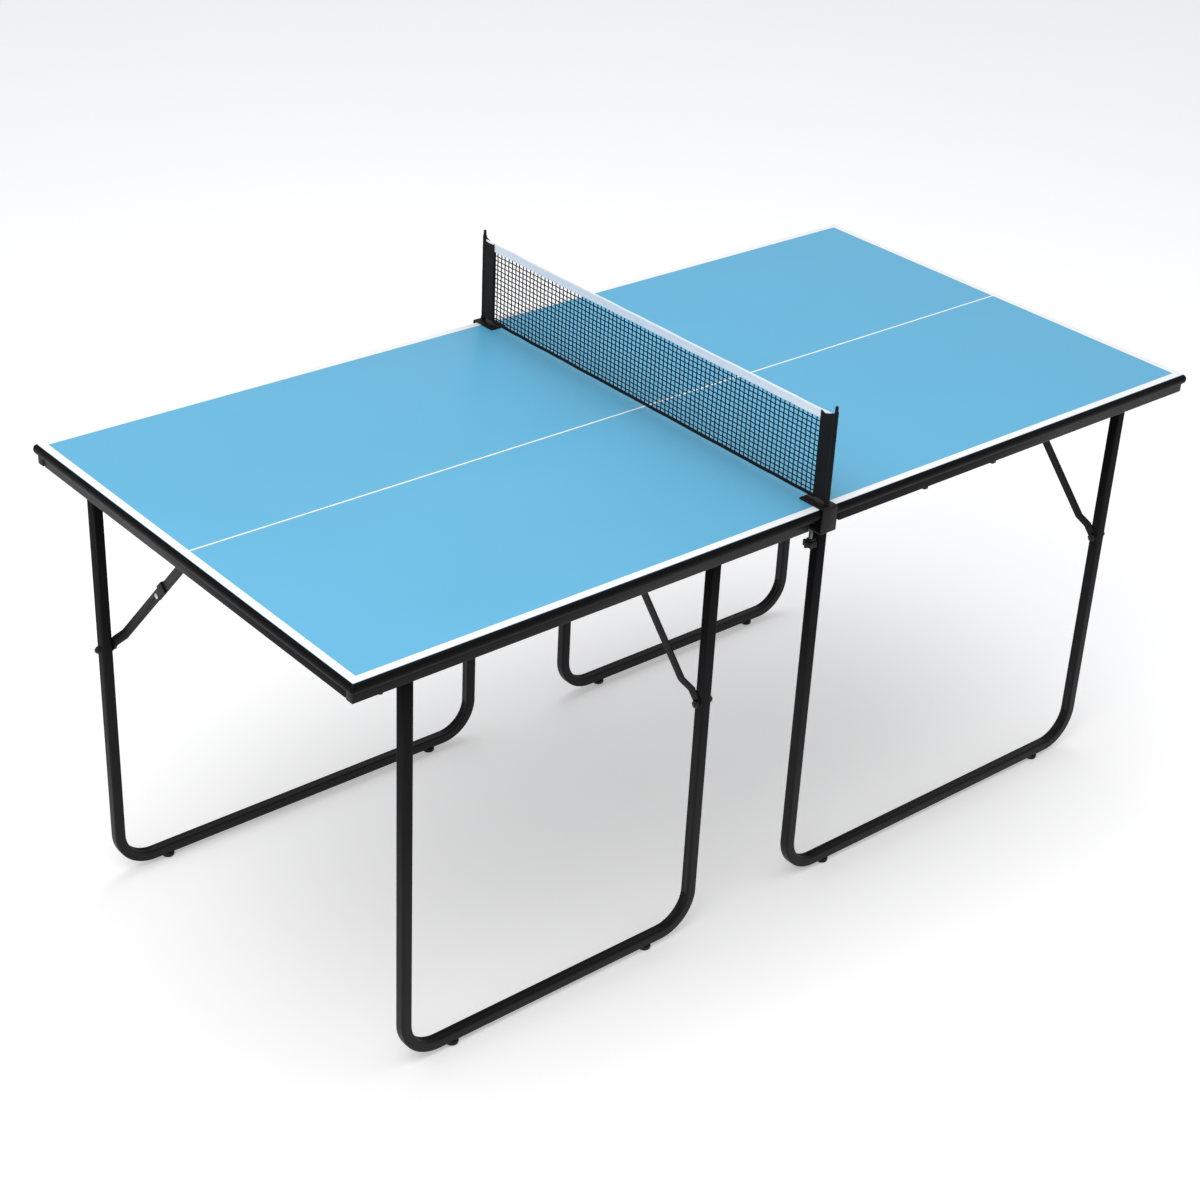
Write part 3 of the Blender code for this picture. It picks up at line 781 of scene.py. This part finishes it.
def leg_bolt(half, kind, tube):
    """The bolt through the upright: a washer and a cap nut outside, a nut on the lower bar."""
    bolt, _, _, way = brace_places(half, kind)
    inner, outer = (way, 0, 0), (-way, 0, 0)
    washer_tall, nut_tall, shank, bar = 0.001, 0.0042, 0.0235, 0.0026
    face = bolt - Vector((way * tube / 2, 0, 0))
    washer = [(0, washer_tall), (0.0066, washer_tall), (0.007, 0.0006), (0.007, 0), (0, 0)]
    parts = [
        aimed(lathed(washer), face, outer),
        aimed(nut(0.011, nut_tall), face - Vector((way * washer_tall, 0, 0)), outer),
        aimed(dome(0.0046, 0.0034), face - Vector((way * (washer_tall + nut_tall), 0, 0)), outer),
        aimed(nut(0.012, 0.006), bolt + Vector((way * (tube / 2 + bar), 0, 0)), inner),
        aimed(lathed([(0, shank), (RIVET_SHANK, shank), (RIVET_SHANK, 0), (0, 0)]), face, inner),
    ]
    return joined(parts)


def tubular_rivet(half, kind, at, before, after):
    """A rivet with two dimpled heads, through what lies before and after the upper bar."""
    way = brace_places(half, kind)[3]
    low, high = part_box(f"{half}_{kind}_brace_upper_bar")
    faces = sorted((low.x, high.x), key=lambda x: way * x)
    near = Vector((faces[0] - way * before, at.y, at.z))
    far = Vector((faces[1] + way * after, at.y, at.z))
    long = (far - near).length
    shank = [(0, long), (RIVET_SHANK, long), (RIVET_SHANK, 0), (0, 0)]
    heads = [
        aimed(dome(0.0047, 0.0017, 0.0012), place, direction)
        for place, direction in ((near, (-way, 0, 0)), (far, (way, 0, 0)))
    ]
    return joined([*heads, aimed(lathed(shank), near, (way, 0, 0))])


def knee_rivet(half, kind):
    """The rivet of the knee, through the lower bar and the upper one."""
    low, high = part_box(f"{half}_{kind}_brace_upper_bar")
    return tubular_rivet(half, kind, brace_places(half, kind)[1], high.x - low.x + GAP, 0)


def anchor_rivet(half, kind):
    """The rivet that holds the upper bar to its anchor."""
    return tubular_rivet(half, kind, brace_places(half, kind)[2], 0, SHEET + GAP)


# Net set --------------------------------------


def clamp_stud(node, screw_top):
    """The screw's threaded stud, from inside its knob to under its pad."""
    low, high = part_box(node)
    radius, pitch, deep = 0.003, 0.001, 0.0005
    start, end = low.z + 0.004, screw_top
    count = int((end - start) / pitch)
    profile = [(0, start), (radius - deep, start)]
    for i in range(count):
        foot_z = start + i * pitch
        profile += [(radius, foot_z + pitch * 0.4), (radius - deep, foot_z + pitch)]
    profile += [(radius - deep, end), (0, end)]
    place = ((low.x + high.x) / 2, (low.y + high.y) / 2, 0)
    return moved(lathed(profile, 16), Matrix.Translation(place))


def knob(node, lobes):
    """A star knob with rounded lobes, a hub above and a shallow dish below."""
    radius, tall, rise = 0.0108, 0.0105, 0.0019
    work = bmesh.new()
    bmesh.ops.create_circle(work, cap_ends=True, radius=radius, segments=lobes * 12)
    for point in work.verts:
        angle = math.atan2(point.co.y, point.co.x)
        point.co *= 1 - rise / radius * (1 - math.cos(lobes * angle))
    made = bmesh.ops.extrude_face_region(work, geom=work.faces[:])["geom"]
    top = [part for part in made if isinstance(part, bmesh.types.BMVert)]
    bmesh.ops.translate(work, vec=(0, 0, tall), verts=top)
    soften(work, level_rims(work), 0.0019, 4)
    dish = min(work.faces, key=lambda face: face.calc_center_median().z - face.calc_area() * 100)
    bmesh.ops.inset_region(work, faces=[dish], thickness=0.0022, depth=0.0)
    bmesh.ops.inset_region(work, faces=[dish], thickness=0.0008, depth=-0.0014)
    hub = lathed([(0, 0.0032), (0.0048, 0.0032), (0.0056, 0.0024), (0.006, 0), (0, 0)], 32)
    moved(hub, Matrix.Translation((0, 0, tall)))
    return stood(joined([work, hub]), node)


def pad(node):
    """A rubber pad with a ribbed flank."""
    low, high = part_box(node)
    radius, tall = (high.x - low.x) / 2, high.z - low.z
    profile = [
        (0, tall),
        (radius * 0.92, tall),
        (radius, tall * 0.88),
        (radius, tall * 0.64),
        (radius * 0.93, tall * 0.56),
        (radius, tall * 0.48),
        (radius * 0.98, tall * 0.3),
        (radius * 0.8, 0),
        (0, 0),
    ]
    return stood(lathed(profile, 28), node)


def post(node):
    """A steel rod with a domed tip, on a collar that is welded to the clamp."""
    low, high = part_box(node)
    collar, tall = (high.x - low.x) / 2, high.z - low.z
    rod, step = 0.0025, 0.005
    profile = [
        (0, tall),
        (rod * 0.45, tall - 0.0002),
        (rod * 0.8, tall - 0.0007),
        (rod, tall - 0.0017),
        (rod, step + 0.0008),
        (rod * 1.2, step),
        (collar * 0.94, step),
        (collar, step - 0.0004),
        (collar, 0),
        (0, 0),
    ]
    return stood(lathed(profile, 24), node)


def strand(points, radius):
    """One thread of the net through its crossings."""
    work = bmesh.new()
    way = points[-1] - points[0]
    turn = UP.rotation_difference(way).to_matrix().to_4x4()
    bmesh.ops.create_circle(
        work, radius=radius, segments=6, matrix=Matrix.Translation(points[0]) @ turn
    )
    run = work.edges[:]
    capped(work, run)
    for start, end in zip(points, points[1:]):
        run = drawn(work, run, end - start)
    capped(work, run)
    return work


def slackened(work, share=1.0):
    """Lets the net's cloth stray from true a little, in the same way in every run."""
    noise.seed_set(CLOTH_SEED)
    for point in work.verts:
        place = Vector((0, point.co.y, point.co.z))
        point.co += noise.noise_vector(place * 24) * 0.0006 * share
    return work


def net_mesh(sizes):
    """The square mesh: each thread goes over one crossing thread and under the next."""
    low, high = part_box("net")
    foot_z = low.z + sizes.foot_tape * 0.5
    head_z = high.z - sizes.top_tape * 0.85
    reach = sizes.sleeve_from + 0.002
    rows = round((head_z - foot_z) / sizes.pitch)
    columns = round(2 * reach / sizes.pitch_along)
    row_step, column_step = (head_z - foot_z) / rows, 2 * reach / columns
    lift, radius = sizes.thread * 0.26, sizes.thread / 2
    zs = [foot_z + row_step * i for i in range(rows + 1)]
    ys = [-reach + column_step * i for i in range(columns + 1)]
    parts = []
    for i, y in enumerate(ys):
        points = [Vector((lift * (-1) ** (i + j), y, z)) for j, z in enumerate(zs)]
        points[0].x = points[-1].x = 0
        parts.append(strand(points, radius))
    for j, z in enumerate(zs[1:-1], start=1):
        points = [Vector((-lift * (-1) ** (i + j), y, z)) for i, y in enumerate(ys)]
        parts.append(strand(points, radius))
    work = slackened(joined(parts))
    tall, wide = head_z - foot_z, 2 * reach
    thread = len(ys) * tall + (rows - 1) * wide
    return work, (wide, tall), thread * sizes.thread


def tape(low_z, high_z, thick, reach, bead):
    """A woven tape along the net, with the cord in its fold as a bead."""
    tall = high_z - low_z
    work = loop(thick, tall, thick * 0.45, 3, cuts=5)
    for point in work.verts:
        near_fold = max(0.0, 1 - (tall / 2 - point.co.y) / (bead * 1.6))
        point.co.x *= 1 + (bead / thick - 1) * math.sin(math.pi * min(1, near_fold))
    moved(work, Matrix.Translation((0, -reach, (low_z + high_z) / 2)) @ LEVEL_TO_UPRIGHT)
    run = work.edges[:]
    capped(work, run)
    count = 64
    for _ in range(count):
        run = drawn(work, run, (0, 2 * reach / count, 0))
    capped(work, run)
    return slackened(work, 1.3)


def sleeve(sizes):
    """The near sleeve: a band of webbing that goes round the post, with its top cut on a slope."""
    low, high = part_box("near_net_post")
    post_y, radius = -(low.y + high.y) / 2, sizes.sleeve_round
    start, end = sizes.sleeve_from, post_y + radius
    foot_z, head_z = low.z + 0.0052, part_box("net")[1].z - 0.0036
    work = loop(0.0046, end - start, 0.0018, 3, cuts=14)
    moved(work, Matrix.Translation((0, (start + end) / 2, 0)))
    for point in work.verts:
        reach = radius**2 - (point.co.y - post_y) ** 2
        if reach > 0:
            round_x = max(abs(point.co.x), math.sqrt(reach))
            point.co.x = math.copysign(round_x, point.co.x)
    moved(work, Matrix.Translation((0, 0, foot_z)))
    run = work.edges[:]
    capped(work, run)
    count = 18
    for _ in range(count):
        run = drawn(work, run, (0, 0, (head_z - foot_z) / count))
    capped(work, run)
    rise, slope_from, lap, lap_rise = 0.009, post_y - 2.2 * radius, 0.006, 0.0034
    for point in work.verts:
        share = (point.co.z - foot_z) / (head_z - foot_z)
        slope = max(0.0, (point.co.y - slope_from) / (end - slope_from))
        overlap = max(0.0, 1 - (point.co.y - start) / lap)
        point.co.z += share**3 * (rise * min(1.0, slope * 1.6) + lap_rise * overlap)
        point.co.x += noise.noise(point.co * 60) * 0.0003
        point.co.y *= -1
    return work


def clamp_rivet():
    """The small rivet low on the near clamp's front plate."""
    low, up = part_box("near_net_clamp")[0], 0.008
    return aimed(dome(0.0013, 0.0004), (0, low.y, low.z + up), (0, -1, 0))


# The studio -----------------------------------


def light(name, place, target, size, power, tint):
    lamp = bpy.data.lights.new(name, "AREA")
    lamp.shape, lamp.size, lamp.size_y = "RECTANGLE", size[0], size[1]
    lamp.energy, lamp.color = power, linear(tint)
    holder = bpy.data.objects.new(name, lamp)
    bpy.context.scene.collection.objects.link(holder)
    holder.location = place
    holder.rotation_euler = (Vector(target) - Vector(place)).to_track_quat("-Z", "Y").to_euler()


def make_camera():
    """A long lens from above the left half's near corner."""
    lens = bpy.data.cameras.new("view")
    lens.sensor_width, lens.lens = 36.0, 69.64
    lens.clip_start, lens.clip_end = 0.1, 100.0
    camera = bpy.data.objects.new("view", lens)
    bpy.context.scene.collection.objects.link(camera)
    camera.location = (-2.2291, -2.4737, 2.3145)
    camera.rotation_euler = [math.radians(angle) for angle in (60.138, -2.540, -39.687)]
    bpy.context.scene.camera = camera


def make_floor(paper):
    work = bmesh.new()
    bmesh.ops.create_grid(work, x_segments=1, y_segments=1, size=15.0)
    mesh = bpy.data.meshes.new("studio_floor")
    work.to_mesh(mesh)
    work.free()
    mesh.materials.append(paper)
    floor = bpy.data.objects.new("studio_floor", mesh)
    bpy.context.scene.collection.objects.link(floor)


# Operators ------------------------------------


def chosen(context):
    """The sizes and the finishes that the panel holds."""
    return context.scene.table_sizes, make_finishes(context.scene.table_colours)


class PINGPONG_OT_boards(bpy.types.Operator):
    """Makes the two painted boards with their lines"""

    bl_idname = "pingpong.boards"
    bl_label = "Boards"
    bl_options = {"REGISTER", "UNDO"}

    def execute(self, context):
        sizes, finishes = chosen(context)
        coats = [finishes[key] for key in ("top", "lines", "raw")]
        for half, turn in HALVES:
            node = half + "_board"
            work = turned_about_z(board(sizes), turn)
            name = half + "_playing_board"
            leave(name, work, coats, body_of(node), [node])
        return {"FINISHED"}


class PINGPONG_OT_mouldings(bpy.types.Operator):
    """Makes the half-round mouldings round the boards"""

    bl_idname = "pingpong.mouldings"
    bl_label = "Edge mouldings"
    bl_options = {"REGISTER", "UNDO"}

    def execute(self, context):
        sizes, finishes = chosen(context)
        for half, turn in HALVES:
            node = half + "_edge_moulding"
            work = turned_about_z(moulding(sizes), turn)
            name = half + "_half_round_moulding"
            leave(name, work, [finishes["moulding"]], body_of(node), [node], 40)
        return {"FINISHED"}


class PINGPONG_OT_rails(bpy.types.Operator):
    """Makes the rails under the boards, with their plugs, screws and bumper"""

    bl_idname = "pingpong.rails"
    bl_label = "Rails"
    bl_options = {"REGISTER", "UNDO"}

    def execute(self, context):
        sizes, finishes = chosen(context)
        for half, turn in HALVES:
            body = body_of(half + "_board")
            for kind, along in (("wide_leg_side", "X"), ("narrow_leg_side", "X"), ("end", "Y")):
                node = f"{half}_{kind}_rail"
                leave(
                    f"{half}_{kind}_rail_tube",
                    rail(node, along, sizes),
                    [finishes["steel"]],
                    body,
                    [node],
                    wall=sizes.rail_wall,
                )
            trim = (
                ("rail_end_plugs", rail_plugs(sizes), "plastic", "foot"),
                ("under_screws", under_screws(), "zinc", "hinge_pin"),
                ("rail_bolts", rail_bolts(), "bolts", "hinge_pin"),
                ("rail_bumper", bumper(), "rubber", "clamp_pad"),
            )
            for name, work, coat, slot in trim:
                whole = turned_about_z(work, turn)
                leave(f"{half}_{name}", whole, [finishes[coat]], body)
        return {"FINISHED"}


class PINGPONG_OT_legs(bpy.types.Operator):
    """Makes the four U-legs with their plugs and feet"""

    bl_idname = "pingpong.legs"
    bl_label = "Legs"
    bl_options = {"REGISTER", "UNDO"}

    def execute(self, context):
        sizes, finishes = chosen(context)
        for half, _ in HALVES:
            for kind in KINDS:
                label = f"{half}_{kind}"
                node = label + "_leg"
                body = body_of(node)
                steel, plastic = [finishes["steel"]], [finishes["plastic"]]
                tube = leg_tube(node, sizes)
                name = label + "_leg_tube"
                leave(name, tube, steel, body, [node], 18, sizes.rail_wall)
                leave(label + "_leg_plugs", tube_plugs(node, sizes), plastic, body)
                for where in WHERES:
                    node = f"{label}_{where}_foot"
                    leave(node + "_glide", foot(node), plastic, body, [node])
        return {"FINISHED"}


class PINGPONG_OT_hinges(bpy.types.Operator):
    """Makes the hinge brackets and pins of the legs"""

    bl_idname = "pingpong.hinges"
    bl_label = "Leg hinges"
    bl_options = {"REGISTER", "UNDO"}

    def execute(self, context):
        sizes, finishes = chosen(context)
        for half, _ in HALVES:
            for kind in KINDS:
                for where in WHERES:
                    for part, coat, slot in (
                        ("bracket", "steel", "frame_steel"),
                        ("pin", "zinc", "hinge_pin"),
                    ):
                        node = f"{half}_{kind}_{where}_{part}"
                        work = pressed(node, sizes.pressed_edge)
                        body = body_of(node)
                        leave(node + "_pressing", work, [finishes[coat]], body, [node])
        return {"FINISHED"}


class PINGPONG_OT_braces(bpy.types.Operator):
    """Makes the folding braces with their anchors, bolts and rivets"""

    bl_idname = "pingpong.braces"
    bl_label = "Braces"
    bl_options = {"REGISTER", "UNDO"}

    def execute(self, context):
        sizes, finishes = chosen(context)
        for half, _ in HALVES:
            for kind in KINDS:
                label = f"{half}_{kind}"
                for part in ("brace_lower_bar", "brace_upper_bar", "brace_anchor"):
                    node = f"{label}_{part}"
                    work = pressed(node, sizes.pressed_edge)
                    coat = [finishes["steel"]]
                    leave(node + "_strap", work, coat, body_of(node), [node])
                low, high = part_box(label + "_leg")
                tube = high.y - low.y
                hardware = (
                    ("brace_bolt", leg_bolt(half, kind, tube), "bolts", "_leg"),
                    ("knee_rivet", knee_rivet(half, kind), "zinc", "_brace_lower_bar"),
                    ("anchor_rivet", anchor_rivet(half, kind), "zinc", "_brace_anchor"),
                )
                for name, work, coat, holder in hardware:
                    body = body_of(label + holder)
                    leave(f"{label}_{name}", work, [finishes[coat]], body)
        return {"FINISHED"}


class PINGPONG_OT_clamps(bpy.types.Operator):
    """Makes the two net clamps with their screws, knobs, pads and posts"""

    bl_idname = "pingpong.clamps"
    bl_label = "Clamps"
    bl_options = {"REGISTER", "UNDO"}

    def execute(self, context):
        sizes, finishes = chosen(context)
        for end, turn in ENDS:
            node = end + "_net_clamp"
            work = pressed(node, sizes.pressed_edge)
            holder = body_of(node)
            steel = [finishes["steel"]]
            leave(end + "_clamp_strap", work, steel, holder, [node])
            dot = turned_about_z(clamp_rivet(), turn)
            leave(end + "_clamp_rivet", dot, [finishes["bolts"]], holder)
            node = end + "_net_post"
            leave(end + "_post_rod", post(node), steel, holder, [node])
            node = end + "_clamp_pad"
            rubber = [finishes["rubber"]]
            leave(end + "_rubber_pad", pad(node), rubber, body_of(node), [node])
            node = end + "_clamp_screw"
            body = body_of(node)
            stud = clamp_stud(node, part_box(node)[1].z)
            leave(end + "_threaded_stud", stud, [finishes["zinc"]], body, [node])
            star = knob(node, sizes.knob_lobes)
            leave(end + "_star_knob", star, [finishes["plastic"]], body)
        return {"FINISHED"}


class PINGPONG_OT_net(bpy.types.Operator):
    """Makes the net with its tapes and sleeves"""

    bl_idname = "pingpong.net"
    bl_label = "Net"
    bl_options = {"REGISTER", "UNDO"}

    def execute(self, context):
        sizes, finishes = chosen(context)
        body = body_of("net")
        low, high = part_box("net")
        reach = sizes.sleeve_from + 0.0015
        head_reach = -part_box("near_net_post")[1].y - 0.001
        head = tape(high.z - sizes.top_tape, high.z, 0.0024, head_reach, 0.0034)
        foot_tape = tape(low.z, low.z + sizes.foot_tape, 0.0024, reach, 0.0026)
        hems = [
            leave("net_top_tape", head, [finishes["white_tape"]], body),
            leave("net_bottom_tape", foot_tape, [finishes["webbing"]], body),
        ]
        for end, turn in ENDS:
            band = turned_about_z(sleeve(sizes), turn)
            hems.append(leave(end + "_net_sleeve", band, [finishes["webbing"]], body))
        work, flat, cloth = net_mesh(sizes)
        mesh = leave("net_mesh", work, [finishes["netting"]], body, ["net"], 60)
        return {"FINISHED"}


class PINGPONG_OT_stage(bpy.types.Operator):
    """Makes the floor, the lights and the camera"""

    bl_idname = "pingpong.stage"
    bl_label = "Studio"
    bl_options = {"REGISTER", "UNDO"}

    def execute(self, context):
        make_camera()
        make_floor(make_finishes(context.scene.table_colours)["floor"])
        world = bpy.data.worlds.new("studio_air")
        world.use_nodes = True
        air = world.node_tree.nodes["Background"]
        air.inputs["Color"].default_value = (*linear("#FBFCFF"), 1.0)
        air.inputs["Strength"].default_value = 0.55
        context.scene.world = world
        context.scene.view_settings.view_transform = "Standard"
        middle = (0, 0, 0.4)
        light("key_softbox", (-1.9, -0.8, 3.1), middle, (2.2, 2.2), 42.0, "#FFFDFA")
        light("top_softbox", (0.6, 0.4, 4.2), middle, (3.5, 3.5), 52.0, "#FFFFFF")
        return {"FINISHED"}


OPERATORS = (
    PINGPONG_OT_stage,
    PINGPONG_OT_boards,
    PINGPONG_OT_mouldings,
    PINGPONG_OT_rails,
    PINGPONG_OT_legs,
    PINGPONG_OT_hinges,
    PINGPONG_OT_braces,
    PINGPONG_OT_clamps,
    PINGPONG_OT_net,
)


class PINGPONG_PT_table(bpy.types.Panel):
    """Lists the table's pieces, sizes and colours"""

    bl_idname = "PINGPONG_PT_table"
    bl_label = "Ping pong table"
    bl_space_type = "VIEW_3D"
    bl_region_type = "UI"
    bl_category = "Table"

    def draw(self, context):
        for made in OPERATORS:
            self.layout.operator(made.bl_idname)
        for group in (context.scene.table_sizes, context.scene.table_colours):
            column = self.layout.column()
            for key in group.bl_rna.properties.keys():
                if key not in ("rna_type", "name"):
                    column.prop(group, key)


CLASSES = (TableSizes, TableColours, *OPERATORS, PINGPONG_PT_table)


def register():
    for made in CLASSES:
        bpy.utils.register_class(made)
    bpy.types.Scene.table_sizes = PointerProperty(type=TableSizes)
    bpy.types.Scene.table_colours = PointerProperty(type=TableColours)


def unregister():
    del bpy.types.Scene.table_colours
    del bpy.types.Scene.table_sizes
    for made in reversed(CLASSES):
        bpy.utils.unregister_class(made)


def main():
    register()
    for made in OPERATORS:
        group, name = made.bl_idname.split(".")
        getattr(getattr(bpy.ops, group), name)()


if __name__ == "__main__":
    main()
